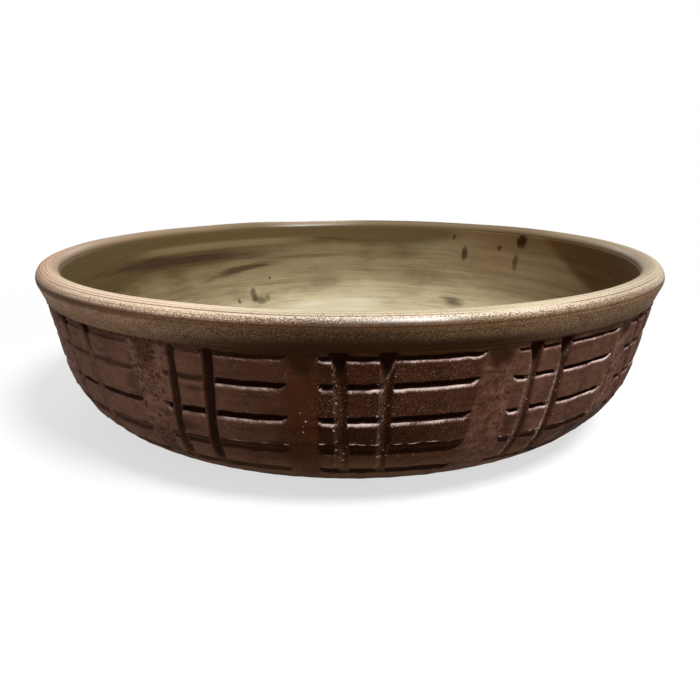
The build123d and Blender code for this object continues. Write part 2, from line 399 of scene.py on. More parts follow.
class Section:
    """Half of the basin's section in metres, with the wall's two faces tangent to the lip, cove and belly."""

    def __init__(self, vessel):
        self.vessel = vessel
        self.lean = vessel.wall_lean
        self.underside = vessel.foot_height
        self.floor = vessel.foot_height + vessel.floor_thickness
        self.lip = (vessel.rim_diameter / 2 - vessel.lip_radius, vessel.height - vessel.lip_radius)
        outer = vessel.wall_thickness - vessel.lip_radius
        self.collar_edge = self.beside_lip(outer, vessel.height - vessel.collar_depth)
        self.belly = self.beside_lip(outer - vessel.belly_radius, self.underside + vessel.belly_radius)
        self.cove = self.beside_lip(-vessel.lip_radius - vessel.cove_radius, self.floor + vessel.cove_radius)
        across = self.collar_edge[0] - self.lip[0]
        down = self.collar_edge[1] - self.lip[1]
        self.collar_angle = math.atan2(down, across) + math.acos(vessel.lip_radius / math.hypot(across, down))
        belly_top = self.belly[1] - vessel.belly_radius * math.sin(self.lean)
        self.straight = (self.collar_edge[1] - belly_top) / math.cos(self.lean)
        self.wall_length = self.straight + vessel.belly_radius * (math.pi / 2 - self.lean)

    def beside_lip(self, outward, height):
        """Point at a height on the line that leans with the wall, at a distance past the lip's centre."""
        reach = (outward + (height - self.lip[1]) * math.sin(self.lean)) / math.cos(self.lean)
        return self.lip[0] + reach, height

    def wall(self, along):
        """Distance from the axis, height and outward direction at distances down the outer wall."""
        belly_radius = self.vessel.belly_radius
        slope = self.lean + np.maximum(along - self.straight, 0) / belly_radius
        on_belly = along > self.straight
        radius = np.where(
            on_belly,
            self.belly[0] + belly_radius * np.cos(slope),
            self.collar_edge[0] - along * math.sin(self.lean),
        )
        height = np.where(
            on_belly,
            self.belly[1] - belly_radius * np.sin(slope),
            self.collar_edge[1] - along * math.cos(self.lean),
        )
        return radius, height, np.cos(slope), -np.sin(slope)

    def down_wall(self, height):
        """Distance down the outer wall to a height."""
        along = (self.collar_edge[1] - height) / math.cos(self.lean)
        if along <= self.straight:
            return along
        slope = math.asin((self.belly[1] - height) / self.vessel.belly_radius)
        return self.straight + self.vessel.belly_radius * (slope - self.lean)

    def liner(self, depth, floor_count, cove_count, wall_count):
        """Floor, cove and inner wall at a depth under the glazed face, from near the axis to the lip."""
        radius = self.vessel.cove_radius + depth
        cove = turn(self.cove, radius, run(-math.pi / 2, -self.lean, cove_count))
        lip_start = turn(self.lip, self.vessel.lip_radius - depth, math.pi - self.lean)
        floor = run((self.cove[0] / floor_count, self.floor - depth), cove[0], floor_count)
        return np.concatenate((floor[:-1], cove, run(cove[-1], lip_start, wall_count)[1:]))

    def rim(self, depth, lip_count, collar_count):
        """Lip and collar at a depth under the glazed face, from the collar edge up and over to the inside."""
        radius = self.vessel.lip_radius - depth
        lip = turn(self.lip, radius, run(self.collar_angle, math.pi - self.lean, lip_count))
        foot = turn(self.collar_edge, -depth, self.collar_angle)
        return np.concatenate((run(foot, lip[0], collar_count)[:-1], lip))


def hand_smoothed(rings, angles, vessel):
    """Lowers the lip a little here and there, most in front, as a hand smoothed it."""
    dip = ripple(angles, 8, (2, 3, 5, 9, 14), LIP_WAVER) - LIP_WEAR
    dip = dip - FRONT_DIP * np.exp(2 * (np.cos(angles - math.radians(FRONT_DIP_DEGREES)) - 1))
    rings[..., 2] += dip * smooth(vessel.height - SMOOTHED_DEPTH, vessel.height, rings[..., 2])
    return rings


def around(radius, height, angles):
    """Points at distances from the axis, heights and angles from the front."""
    return np.stack((radius * np.sin(angles), -radius * np.cos(angles), height), axis=-1)


def spin(profile, angles):
    """Rings of points from a profile, turned round the axis at angles from the front."""
    height = np.broadcast_to(profile[:, 1:], (len(profile), len(angles)))
    return around(profile[:, :1], height, angles)


def turned_mesh(name, rings, poles=None):
    """Closed mesh of rings in order: two poles close its ends, or else the last ring meets the first."""
    level_count, column_count = rings.shape[:2]
    points = rings.reshape(-1, 3)
    index = np.arange(len(points)).reshape(level_count, column_count)
    here = index if poles is None else index[:-1]
    above = np.roll(index, -1, axis=0) if poles is None else index[1:]
    quads = np.stack((here, np.roll(here, -1, axis=1), np.roll(above, -1, axis=1), above), axis=-1)
    faces = quads.reshape(-1, 4).tolist()
    if poles is not None:
        first = len(points)
        last = first + 1
        points = np.concatenate((points, np.asarray(poles, float)))
        for column in range(column_count):
            beside = (column + 1) % column_count
            faces.append((first, int(index[0, beside]), int(index[0, column])))
            faces.append((int(index[-1, column]), int(index[-1, beside]), last))
    mesh = bpy.data.meshes.new(name)
    mesh.from_pydata(points.tolist(), [], faces)
    mesh.polygons.foreach_set("use_smooth", np.ones(len(mesh.polygons), dtype=bool))
    return mesh


def keep_values(mesh, name, values):
    """Stores one number per point for the finish to read. Points beyond the last value get 0."""
    column = np.zeros(len(mesh.vertices), dtype=np.float32)
    column[: values.size] = values.reshape(-1)
    mesh.attributes.new(name, "FLOAT", "POINT").data.foreach_set("value", column)


def place(mesh, coat, node, slot):
    """Puts a piece where its CAD node is, in a finish of its own."""
    material = bpy.data.materials.new(slot)
    coat(Finish(material), bpy.context.scene.suiban_finishes)
    mesh.materials.append(material)
    piece = bpy.data.objects.new(mesh.name, mesh)
    bpy.context.scene.collection.objects.link(piece)
    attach(piece, "root")
    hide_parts(node)


class Wire:
    """A value in a finish. Python arithmetic on it adds Math nodes."""

    def __init__(self, finish, socket):
        self.finish = finish
        self.socket = socket

    def __add__(self, other):
        return self.finish.maths("ADD", self, other)

    __radd__ = __add__

    def __sub__(self, other):
        return self.finish.maths("SUBTRACT", self, other)

    def __rsub__(self, other):
        return self.finish.maths("SUBTRACT", other, self)

    def __mul__(self, other):
        return self.finish.maths("MULTIPLY", self, other)

    __rmul__ = __mul__

    def __truediv__(self, other):
        return self.finish.maths("DIVIDE", self, other)

    def __rtruediv__(self, other):
        return self.finish.maths("DIVIDE", other, self)

    def __neg__(self):
        return self.finish.maths("MULTIPLY", self, -1.0)

    def __abs__(self):
        return self.finish.maths("ABSOLUTE", self)


class Finish:
    """The nodes of a material or a world, added one after the other."""

    def __init__(self, owner):
        owner.use_nodes = True
        self.tree = owner.node_tree
        self.tree.nodes.clear()

    def node(self, kind, settings=None, sockets=None, output=0):
        """Adds a node: its settings first, then the values or wires of its sockets. Gives one output."""
        node = self.tree.nodes.new(kind)
        for name, value in (settings or {}).items():
            setattr(node, name, value)
        for name, value in (sockets or {}).items():
            if isinstance(value, Wire):
                self.tree.links.new(value.socket, node.inputs[name])
            else:
                node.inputs[name].default_value = value
        return Wire(self, node.outputs[output]) if len(node.outputs) else None

    def maths(self, operation, *values):
        """Math node of values in order."""
        return self.node("ShaderNodeMath", {"operation": operation}, dict(enumerate(values)))

    def value(self, name):
        """Number stored on the mesh."""
        return self.node("ShaderNodeAttribute", {"attribute_name": name}, output="Fac")

    def spot(self):
        """Position on the piece, in metres."""
        return self.node("ShaderNodeTexCoord", output="Object")

    def every_output(self, kind, sockets=None):
        """Adds a node and gives all its outputs by name."""
        node = self.node(kind, sockets=sockets).socket.node
        return {socket.name: Wire(self, socket) for socket in node.outputs}

    def split(self, vector):
        """The three numbers of a vector."""
        return self.every_output("ShaderNodeSeparateXYZ", {"Vector": vector}).values()

    def stretched(self, vector, factors):
        """A vector with each of its numbers scaled."""
        return self.node("ShaderNodeVectorMath", {"operation": "MULTIPLY"}, {0: vector, 1: factors})

    def noise(self, vector, scale, detail=2.0, roughness=0.5):
        """Cloudy value round 0.5, with features about 1 / scale metres across."""
        sockets = {"Vector": vector, "Scale": scale, "Detail": detail, "Roughness": roughness}
        return self.node("ShaderNodeTexNoise", {"noise_dimensions": "3D"}, sockets)

    def rise(self, value, low, high):
        """Share from 0 at low to 1 at high."""
        settings = {"interpolation_type": "SMOOTHSTEP", "clamp": True}
        return self.node("ShaderNodeMapRange", settings, {"Value": value, "From Min": low, "From Max": high})

    def mix(self, factor, below, above):
        """Colour that goes from one to another."""
        sockets = {0: factor, 6: self.full(below), 7: self.full(above)}
        return self.node("ShaderNodeMix", {"data_type": "RGBA"}, sockets, output=2)

    def coats(self, tint, *layers):
        """Colour under layers laid on in order, each a mask from 0 to 1 and its colour."""
        for mask, above in layers:
            tint = self.mix(mask, tint, above)
        return tint

    def full(self, tint):
        """A wire as it is, or a colour with its alpha."""
        return tint if isinstance(tint, Wire) else (*tint, 1.0)

    def bump(self, height, distance, strength=1.0, below=None):
        """Normal of a fine relief, on top of another where one is given."""
        sockets = {"Height": height, "Distance": distance, "Strength": strength}
        if below is not None:
            sockets["Normal"] = below
        return self.node("ShaderNodeBump", sockets=sockets)

    def close(self, **sockets):
        """Ends a material in one shader, with its sockets named by words joined with underscores."""
        named = {name.replace("_", " ").title(): value for name, value in sockets.items()}
        renamed = {name.replace("Ior", "IOR"): value for name, value in named.items()}
        self.end(self.node("ShaderNodeBsdfPrincipled", sockets=renamed, output="BSDF"))

    def end(self, shader, kind="ShaderNodeOutputMaterial"):
        """Sends a shader to the output."""
        self.node(kind, sockets={"Surface": shader})


def iron_stoneware(finish, tints):
    """Carved clay under an iron wash, worn and painted with highlights on its edges, and dark with iron and
    painted shade in its cuts.
    """
    rise, noise = finish.rise, finish.noise
    spot = finish.spot()
    x, _, height = finish.split(spot)
    cut, edge, fleck, panel, bib = [finish.value(name) for name in WALL_VALUES]
    clouds = noise(spot, 24.0, 3.0, 0.55)
    patches = noise(spot, 95.0, 3.0, 0.6)
    brushed = noise(finish.stretched(spot, (60.0, 60.0, 420.0)), 1.0, 3.0, 0.6)
    grain = noise(spot, 2000.0, 2.0, 0.6)
    crumbs = noise(spot, 760.0, 1.0, 0.5)
    mottle = noise(spot, 330.0, 3.0, 0.65)

    # Smoked clay in front, plain clay to the right and flashed clay to the left; partly painted light, as the
    # front is painted darker and the left lighter than the lamps make them
    drift = 0.05 * (clouds - 0.5)
    right = rise(x + drift, 0.012, 0.065)
    left = rise(drift - x, 0.012, 0.074)
    clay = finish.coats(tints.smoked_clay_and_shade, (right, tints.plain_clay), (left, tints.rosy_clay))
    wash = finish.coats(
        tints.iron_wash,
        (0.5 * right + 0.8 * left, clay),
        (0.3 * rise(-x, 0.015, 0.03), tints.plain_clay),
    )
    glaze_run = finish.coats(tints.bib_dark, (0.7 * left, tints.smoked_clay_and_shade))

    washed = panel * rise(clouds + 0.35 * (brushed - 0.5), 0.15, 0.5)
    bare = (left + right) * (1 - 0.75 * panel)
    low = rise(0.030 - height + 0.008 * (clouds - 0.5), 0.004, 0.016)
    dusk = panel * rise(0.0056 - abs(height - 0.0335), 0.0, 0.003) * (1 - right)
    dusk = dusk * (1 - rise(-x, 0.012, 0.03))
    browned = left * (1 - panel) * rise(0.034 - height, 0.0, 0.010)
    scorched = rise(x, 0.055, 0.085) * rise(0.028 - height, 0.0, 0.006)
    dusted = rise(clouds + 0.6 * (patches - 0.5), 0.34, 0.6) * (0.55 + 0.45 * panel) * (1 - 0.7 * dusk)
    wear_and_light = grain + 0.7 * (crumbs - 0.5) + 0.5 * (edge - 0.5)
    kept = 0.05 + 0.5 * edge
    rub_and_highlight = edge * (kept + (1 - kept) * rise(wear_and_light, 0.36, 0.62))
    flecks = rise(crumbs + 0.10 * (fleck - 1), 0.66, 0.73) * rise(fleck, 0.1, 0.4)
    tint = finish.coats(
        clay,
        (washed, wash),
        (0.8 * bare * rise(mottle, 0.52, 0.64), tints.iron_wash),
        (0.6 * bare * rise(1 - mottle, 0.51, 0.63), tints.rosy_clay),
        (0.6 * bare * rise(crumbs, 0.53, 0.64), tints.iron_and_shade_dark),
        (low * (0.25 + 0.45 * panel), tints.ash_tan),
        (0.6 * dusk, tints.iron_and_shade_dark),
        (0.65 * browned, tints.iron_wash),
        (0.7 * scorched * rise(clouds + patches, 0.8, 1.15), tints.iron_and_shade_dark),
        (0.5 * rise(brushed, 0.52, 0.75), tints.iron_and_shade_dark),
        (0.4 * rise(patches, 0.52, 0.68), tints.iron_and_shade_dark),
        (0.5 * rise(grain, 0.52, 0.68) * dusted, tints.clay_speck),
        (bib * (0.92 - 0.25 * left), glaze_run),
        # Iron and painted shade in the cuts
        (cut, tints.iron_and_shade_dark),
        # Wear and painted highlights on the rubbed edges and ledges
        (rub_and_highlight * (0.8 + 0.2 * rise(patches, 0.35, 0.62)), tints.worn_edge_and_highlight),
        (0.65 * flecks, tints.worn_edge_and_highlight),
    )
    finish.close(
        base_color=tint,
        roughness=0.55 + 0.2 * (grain - 0.5) + 0.12 * (clouds - 0.5),
        normal=finish.bump(brushed, 0.00025, 0.5, finish.bump(grain + mottle + 1.6 * flecks, 0.0003, 0.8)),
        specular_ior_level=0.008,
        coat_weight=0.4 * rub_and_highlight + 0.25 * flecks,
        coat_roughness=0.3,
    )


def bare_stoneware(finish, tints):
    """Dry fired clay."""
    spot = finish.spot()
    grain = finish.noise(spot, 700.0, 3.0, 0.6)
    clouds = finish.noise(spot, 40.0, 2.0, 0.5)
    tint = finish.coats(
        tints.bare_clay,
        (0.5 * finish.rise(clouds, 0.35, 0.65), tints.plain_clay),
        (0.6 * finish.rise(grain, 0.62, 0.7), tints.speck_brown),
    )
    relief = finish.bump(grain, 0.0004, 0.8)
    finish.close(base_color=tint, roughness=0.85, normal=relief, specular_ior_level=0.1)


def ash_glaze(finish, tints):
    """Dry ash on the lip that breaks to specks, and runs thin over the collar."""
    rise, noise = finish.rise, finish.noise
    spot = finish.spot()
    along = finish.value("along")
    x, y, _ = finish.split(spot)
    rolled = finish.node("ShaderNodeCombineXYZ", sockets={0: x * 14.0, 1: y * 14.0, 2: along * 1500.0})
    lines = noise(rolled, 1.0, 2.0, 0.6)
    grain = noise(spot, 2300.0, 2.0, 0.65)
    clouds = noise(spot, 16.0, 3.0, 0.55)
    sand = noise(spot, 1900.0, 1.0, 0.5)
    mottle = noise(finish.stretched(spot, (110.0, 110.0, 240.0)), 1.0, 3.0, 0.65)

    # Distance over the lip and down the collar from the inner edge, less how far the ash sagged there
    front = 1 - rise(abs(x - 0.010), 0.02, 0.05)
    sagged = 0.0010 * rise(-x, 0.02, 0.07) - 0.0007 * rise(-x, 0.095, 0.130)
    sagged = sagged + 0.0018 * rise(x, 0.095, 0.135) - 0.0003 * front
    down = along + 0.0012 * (clouds - 0.5) + 0.0010 * (lines - 0.5) - sagged

    flashed = rise(abs(x) + 0.05 * (clouds - 0.5), 0.008, 0.075)
    rosy = rise(-x, 0.03, 0.09)
    collar = finish.coats(
        tints.collar_smoke,
        (flashed, tints.collar_olive),
        (rosy * rise(clouds, 0.25, 0.55), tints.collar_rose),
        ((0.45 - 0.15 * rosy) * flashed * rise(mottle, 0.50, 0.66), tints.collar_smoke),
        ((0.9 - 0.2 * rosy) * rise(sand, 0.50, 0.57), tints.speck_brown),
        ((0.70 - 0.1 * flashed) * rise(1 - sand, 0.53, 0.60), tints.speck_gold),
        (0.42 - 0.42 * rise(abs(x), 0.010, 0.032), tints.neck_dark_and_shade),
    )

    inner = (1 - rise(down, 0.0058, 0.0080)) * rise(y, 0.06, 0.09) * rise(x, 0.02, 0.06)
    back_highlight = rise(y, 0.10, 0.13) * rise(0.044 - abs(x + 0.024), 0.0, 0.036)
    straw = (1 - rise(down - 0.0004 * front, 0.0092, 0.0108)) * (1 - rise(y, -0.02, 0.05))
    straw = straw * (1 - rise(-x, 0.015, 0.06)) * (1 - 0.6 * rise(x, 0.05, 0.09))
    speckled = grain + 0.20 * rise(down, 0.0094, 0.0136) + 0.08 * (clouds - 0.5)
    speckled = speckled + 0.012 * (1 - rise(y, -0.05, 0.02))
    lip = finish.coats(
        tints.lip_cream,
        (0.7 * rise(-x, 0.0, 0.08), tints.lip_warm),
        (rise(-x, 0.090, 0.142), tints.collar_rose),
        (0.3 * rise(-x, 0.128, 0.145), tints.collar_olive),
        (0.65 * rise(x, 0.03, 0.14), tints.lip_tan),
        (0.9 * rise(y, -0.02, 0.11), tints.lip_tan),
        # Painted shade on the back of the rim
        (0.9 * rise(y, 0.100, 0.128), tints.liner_brown_and_shade),
        (0.8 * inner, tints.liner_brown_and_shade),
        # Painted highlight at the back of the lip
        (0.4 * back_highlight, tints.lip_cream),
        (0.85 * straw, tints.lip_straw),
        (0.85 * rise(speckled, 0.59, 0.71), tints.speck_brown),
        (0.7 * (1 - rise(down, 0.0040, 0.0075)), tints.lip_tan),
    )

    # Painted shadow of a groove under the lip (groove and hollow), which the shape does not have
    groove = rise(0.0006 - abs(along - 0.0146), 0.0, 0.0005)
    hollow = rise(0.0019 - abs(along + 0.0010 * (clouds - 0.5) - 0.0151), 0.0, 0.0013)
    # Darker low on the collar: thicker glaze, and painted shade
    thick_glaze_and_shade = 1 - 0.5 * rise(x, 0.045, 0.09) - 0.3 * rise(x, 0.105, 0.130)
    thick_glaze_and_shade = thick_glaze_and_shade * (1 - 0.6 * rise(-x, 0.015, 0.080))
    neck = rise(down + 0.002 * (clouds - 0.5), 0.0182, 0.0232)
    patchy = rise(clouds + lines, 0.75, 1.05)
    scored = [
        (strength * rise(0.00030 - abs(along - mark * MM), 0.0, 0.0002) * patchy, tints.speck_brown)
        for mark, strength in LIP_LINES
    ]
    streaks = (0.3 + 0.25 * rise(down, 0.014, 0.016)) * rise(lines, 0.56, 0.70)
    tint = finish.coats(
        lip,
        (rise(down + 0.0018 * (grain - 0.5), 0.0118, 0.0140), collar),
        (0.75 * (1 - rise(along, 0.0002, 0.0036)), tints.liner_brown_and_shade),
        (groove * (0.8 - 0.4 * flashed), tints.neck_dark_and_shade),
        (hollow * (0.5 + 0.3 * rosy - 0.4 * rise(x, 0.040, 0.110)), tints.speck_brown),
        (neck * thick_glaze_and_shade, tints.neck_dark_and_shade),
        ((0.8 - 0.5 * rosy) * rise(down, 0.0236, 0.0250), tints.neck_dark_and_shade),
        *scored,
        (streaks, tints.speck_brown),
    )

    # Gloss at the back, with a highlight also painted into its colour, and in front, which fades out at both
    # edges of the lip
    shining = rise(-y, 0.10, 0.13) * rise(0.030 - abs(x - 0.012), 0.0, 0.016)
    shining = shining * (1.2 * rise(along, 0.0090, 0.0112) - 0.3)
    glossy = 0.3 - 0.2 * rise(y, 0.0, 0.10) + 1.1 * back_highlight + 0.9 * shining
    finish.close(
        base_color=tint,
        roughness=0.5 + 0.3 * (grain - 0.5) + 0.12 * rise(clouds, 0.4, 0.6),
        normal=finish.bump(lines, 0.0004, 0.8, finish.bump(grain, 0.0003, 0.6)),
        specular_ior_level=0.02,
        coat_weight=glossy * rise(along, 0.0003, 0.0024) * (1 - rise(along, 0.0125, 0.0150)),
        coat_roughness=0.34,
    )


def liner_glaze(finish, tints):
    """Satin ash glaze, brushed round, thin under the lip, marked with iron, and painted with shade: darker up
    the wall and on its right side.
    """
    rise, noise = finish.rise, finish.noise
    spot = finish.spot()
    x, y, height = finish.split(spot)
    angle = finish.maths("ARCTAN2", x, -y) * math.degrees(1)
    clouds = noise(spot, 18.0, 3.0, 0.55)
    patches = noise(finish.stretched(spot, (22.0, 22.0, 75.0)), 1.0, 3.0, 0.6)
    brushed = noise(finish.stretched(spot, (9.0, 9.0, 170.0)), 1.0, 4.0, 0.6)
    strokes = noise(finish.stretched(spot, (30.0, 30.0, 700.0)), 1.0, 3.0, 0.6)
    grain = noise(spot, 800.0, 2.0, 0.6)

    # Height on the wall, with the uneven edges that the brush left
    sides = 0.012 * rise(-x, 0.03, 0.12) - 0.010 * rise(x, 0.030, 0.085)
    level = height + sides + 0.016 * (brushed - 0.5) + 0.020 * (clouds - 0.5) + 0.016 * (patches - 0.5)
    streaked = rise(1 - strokes, 0.52, 0.74) * (1 - rise(level, 0.040, 0.056))
    blotched = rise(patches, 0.52, 0.68) * (0.08 + 0.2 * rise(level, 0.030, 0.046))
    # Pale patch low at the back of the liner, partly a painted highlight where the floor glaze shines
    milky_and_highlight = rise(0.040 - abs(x + 0.010), 0.0, 0.024) * rise(y, 0.080, 0.110)
    milky_and_highlight = milky_and_highlight * (1 - rise(height + 0.008 * (clouds - 0.5) + 0.008 * (patches - 0.5), 0.0235, 0.0280))
    band = rise(0.0032 - abs(height - 0.067), 0.0, 0.0024) * rise(32 - abs(angle + 141), 0.0, 16.0)
    warm = rise(x, 0.055, 0.100) * rise(level, 0.016, 0.030)
    # Painted shade: under the lip on the right (dusk), and the rim's shadow on the right inner wall (shaded)
    dusk = rise(x, 0.050, 0.110) * rise(height, 0.058, 0.073)
    shaded = rise(x + 0.65 * (height - 0.060) + 0.006 * (clouds - 0.5), 0.1262, 0.1318)

    def mark(across, upright, ragged, full, gone):
        """Mark on the liner that is solid near its middle and ragged at its edge."""
        return 1 - rise(finish.maths("SQRT", across * across + upright * upright) + ragged, full, gone)

    dry_brush = 1.6 * (brushed - 0.5) + 2.0 * (strokes - 0.5) + 1.4 * (patches - 0.5)
    marks = []
    for middle, rise_to, half_length, half_height, climb, strength in IRON_DRAGS:
        across = (angle - middle) / half_length
        upright = (height - rise_to * MM - across * (climb * MM)) / (half_height * MM)
        marks.append((strength * mark(across, upright, dry_brush, 0.30, 1.35), tints.iron_drag))
    smudge = noise(spot, 260.0, 3.0, 0.6) - 0.5 + 0.5 * (grain - 0.5)
    for middle, rise_to, half_width, half_height, strength in IRON_SPOTS:
        across = (angle - middle) * (math.radians(INNER_RADIUS) / (half_width * MM))
        upright = (height - rise_to * MM) / (half_height * MM)
        marks.append((strength * mark(across, upright, smudge, 0.45, 1.15), tints.iron_spot))
    # Paler low and browner towards the lip: partly the glaze, partly painted light below and painted shade
    # above
    tint = finish.coats(
        tints.liner_pale,
        (rise(level, 0.022, 0.048), tints.liner_olive),
        (0.9 * rise(level, 0.050, 0.068), tints.liner_brown_and_shade),
        (0.35 * rise(strokes, 0.5, 0.72), tints.liner_brown_and_shade),
        (0.25 * streaked, tints.liner_pale),
        (blotched, tints.liner_brown_and_shade),
        (milky_and_highlight * (0.35 + 0.6 * rise(strokes, 0.40, 0.62)), tints.liner_milk_and_highlight),
        (0.55 * band, tints.liner_olive),
        (0.5 * rise(grain, 0.66, 0.72), tints.iron_drag),
        (0.65 * warm, tints.collar_olive),
        (0.55 * dusk, tints.liner_painted_shade),
        (0.85 * shaded * rise(level, 0.010, 0.030), tints.liner_painted_shade),
        *marks,
    )
    finish.close(
        base_color=tint,
        roughness=0.5 + 0.16 * (strokes - 0.5) + 0.1 * (grain - 0.5),
        normal=finish.bump(grain, 0.0002, 0.35, finish.bump(strokes, 0.0003, 0.5)),
        specular_ior_level=0.03,
    )


def panel_lines(levels):
    """Angles of the carving's upright lines at every level, from the front round to the right."""
    per_degree = math.radians(WALL_RADIUS)
    lines = []
    for panel, cut in enumerate(CUT_OF_PANEL):
        start, first, second, end, widths = CUTS[cut][:5]
        here = panel * 360 / PANEL_COUNT + PANEL_STRAY[panel]
        first_half, second_half = [width * MM / 2 / per_degree for width in widths]
        upright = (
            (start, 0),
            (first, -first_half),
            (first, first_half),
            (second, -second_half),
            (second, second_half),
            (end, -BOW_DEGREES),
            (end, 0),
        )
        for (top, bottom), aside in upright:
            lines.append(here + top + aside + (bottom - top) * levels)
    return np.radians(np.stack(lines, axis=-1))


class Lattice:
    """The carved wall in levels down it and columns round it, with the cuts at each of its points."""

    def __init__(self, section, carving):
        self.section = section
        self.carving = carving
        plain_edges = [[section.down_wall(height * MM) for height in row] for row in ROWS]
        self.last_row = plain_edges[-1][1]
        self.set_columns(self.levels(plain_edges))
        self.row_edges = self.wandering(plain_edges)
        self.along = self.levels(self.row_edges)
        self.radius, self.height, self.out, self.up = section.wall(self.along)
        self.from_start = (self.angles - self.line(START)) * self.radius
        self.to_end = (self.line(END) - self.angles) * self.radius
        self.ledges = self.of_panel(LEDGES)
        # Depth of the cuts, height of the clay beside them, and how dark (iron and painted shade), rubbed and
        # lit (wear and painted highlights), flecked and torn it is
        shape = (6, *self.angles.shape)
        self.sunk, self.raised, self.dark, self.rub_and_highlight, self.fleck, self.torn = np.zeros(shape)

    def levels(self, edges):
        """Distances down the wall of all levels, from the upper and lower edges of the rows."""
        # Adding nothing times an edge gives the first levels the edges' form: one number, or one per column
        distances = [stop + 0 * edges[0][0] for stop in COLLAR_STOPS]
        for row, (upper, lower) in enumerate(edges):
            distances += [upper + stop * (lower - upper) for stop in ROW_STOPS]
            top = distances[-1]
            if row + 1 < len(edges):
                next_upper, next_lower = edges[row + 1]
                foot = next_upper + ROW_STOPS[0] * (next_lower - next_upper)
                distances += [top + stop * (foot - top) for stop in BLOCK_STOPS]
        distances += [top + stop * (self.section.wall_length - top) for stop in FOOT_STOPS]
        return np.array(distances)

    def set_columns(self, plain):
        """Sets the columns closer together towards the upright lines, which wobble down the wall."""
        lines = panel_lines(np.minimum(plain / self.last_row, LEAN_END))
        wobble = self.carving.wobble / WALL_RADIUS
        for line in range(lines.shape[1]):
            lines[:, line] += ripple(plain / self.section.wall_length, 100 + line, (9, 17, 29, 47), wobble)
        self.lines = np.concatenate((lines, lines[:, :1] + FULL_TURN), axis=1)
        counts = STRETCH_COLUMNS * PANEL_COUNT
        left = np.repeat(np.arange(len(counts)), counts)
        inward = np.concatenate([(1 - np.cos(math.pi * np.arange(count) / count)) / 2 for count in counts])
        self.angles = self.lines[:, left] + inward * (self.lines[:, left + 1] - self.lines[:, left])
        self.panel = left // PANEL_LINES

    def wandering(self, edges):
        """Edges of the rows, which wander a little and tilt from panel to panel."""
        random = np.random.default_rng(5)
        halfway = len(self.angles) // 2
        middle = self.angles[halfway]
        starts = self.lines[halfway, START:-1:PANEL_LINES]
        ends = np.sort(np.concatenate((starts, self.lines[halfway, END:-1:PANEL_LINES])))
        wandered = []
        for row, (upper, lower) in enumerate(edges):
            drift = random.uniform(-ROW_DRIFT, ROW_DRIFT, len(ends))
            drift = np.interp(middle, ends, drift, period=FULL_TURN)
            slimness = np.array(SLIMNESS) + (0.5 * np.array(FAINT_LOW) if row == WIDE_ROW else 0)
            slimmer = np.interp(middle, ends, np.repeat(slimness, 2), period=FULL_TURN) * (lower - upper)
            upper_wobble = ripple(middle, 20 + row, (31, 57, 89, 144, 233), self.carving.wobble)
            lower_wobble = ripple(middle, 40 + row, (43, 71, 113, 181, 307), self.carving.wobble)
            wandered.append((upper + slimmer + drift + upper_wobble, lower + drift + lower_wobble))
        return wandered

    def line(self, order):
        """Angle of one of each panel's lines, for every point."""
        return self.lines[:, self.panel * PANEL_LINES + order]

    def of_panel(self, values):
        """Value of its panel, for every column."""
        return np.array(values)[self.panel]

    def cut_rows(self):
        """Cuts the level rows, dark with iron and painted shade on their faces, and worn and painted with
        highlights along their edges.
        """
        angles, carving = self.angles, self.carving
        swell = bow(self.from_start, ROW_START_BOW) * bow(self.to_end, ROW_END_BOW)
        cut_in = swell > 0.05
        stain_and_shade = 0.6 + 0.4 * np.minimum(2 * self.ledges, 1)
        for row, (upper, lower) in enumerate(self.row_edges):
            depth_share, lit_from, low_share, top_share = ROW_CUTS[row]
            down = (self.along - upper) / (lower - upper)
            shaped = down / np.maximum(swell, 0.02)
            clear = 1 - self.of_panel(FAINT_ROWS[row])
            if row < 2:
                clear = clear * (1 - self.of_panel(FAINT_ENDS) * (angles < self.line(SECOND_BAR)))
            slope = 0.7 * smooth(0.40, lit_from, shaped) + 0.3 * smooth(lit_from, 1.05, shaped)
            face = smooth(0.0, 0.18, shaped) * (1 - slope)
            self.sunk = np.maximum(self.sunk, carving.row_depth * depth_share * clear * swell**0.6 * face)
            lit = smooth(lit_from - 0.02, lit_from + 0.02, shaped)
            # Painted shade, with iron, over the row's face under its upper edge, all but the lit ledge
            shade = 0.5 * smooth(-0.03, 0.06, down) + 0.5 * smooth(0.0, 0.45, down)
            ploughed = 1 - 0.6 * hill(shaped - 0.56, 0.10) * (row == WIDE_ROW)
            self.dark = np.maximum(self.dark, shade * (1 - lit) * cut_in * stain_and_shade * clear**0.5 * ploughed)
            patchy = np.clip(0.85 + ripple(angles, 130 + row, (11, 19, 37, 61, 97), 0.36), 0.3, 1)
            broken = smooth(-0.25, 0.35, ripple(angles, 150 + row, (83, 131, 199, 263), 0.7))
            # Painted highlight and wear on the ledge under each row, and on its upper edge
            ledge = lit * (1 - smooth(lit_from + 0.06, 1.06, shaped)) * cut_in * low_share * patchy * clear
            brow = hill(down + 0.06, 0.035) * cut_in * top_share * broken
            self.rub_and_highlight = np.maximum(self.rub_and_highlight, np.maximum(ledge, brow) * self.ledges)
            lower_burr = hill(shaped - 1.03, 0.06) * cut_in * low_share
            self.raised += carving.burr * (0.3 * lower_burr + 1.4 * brow)

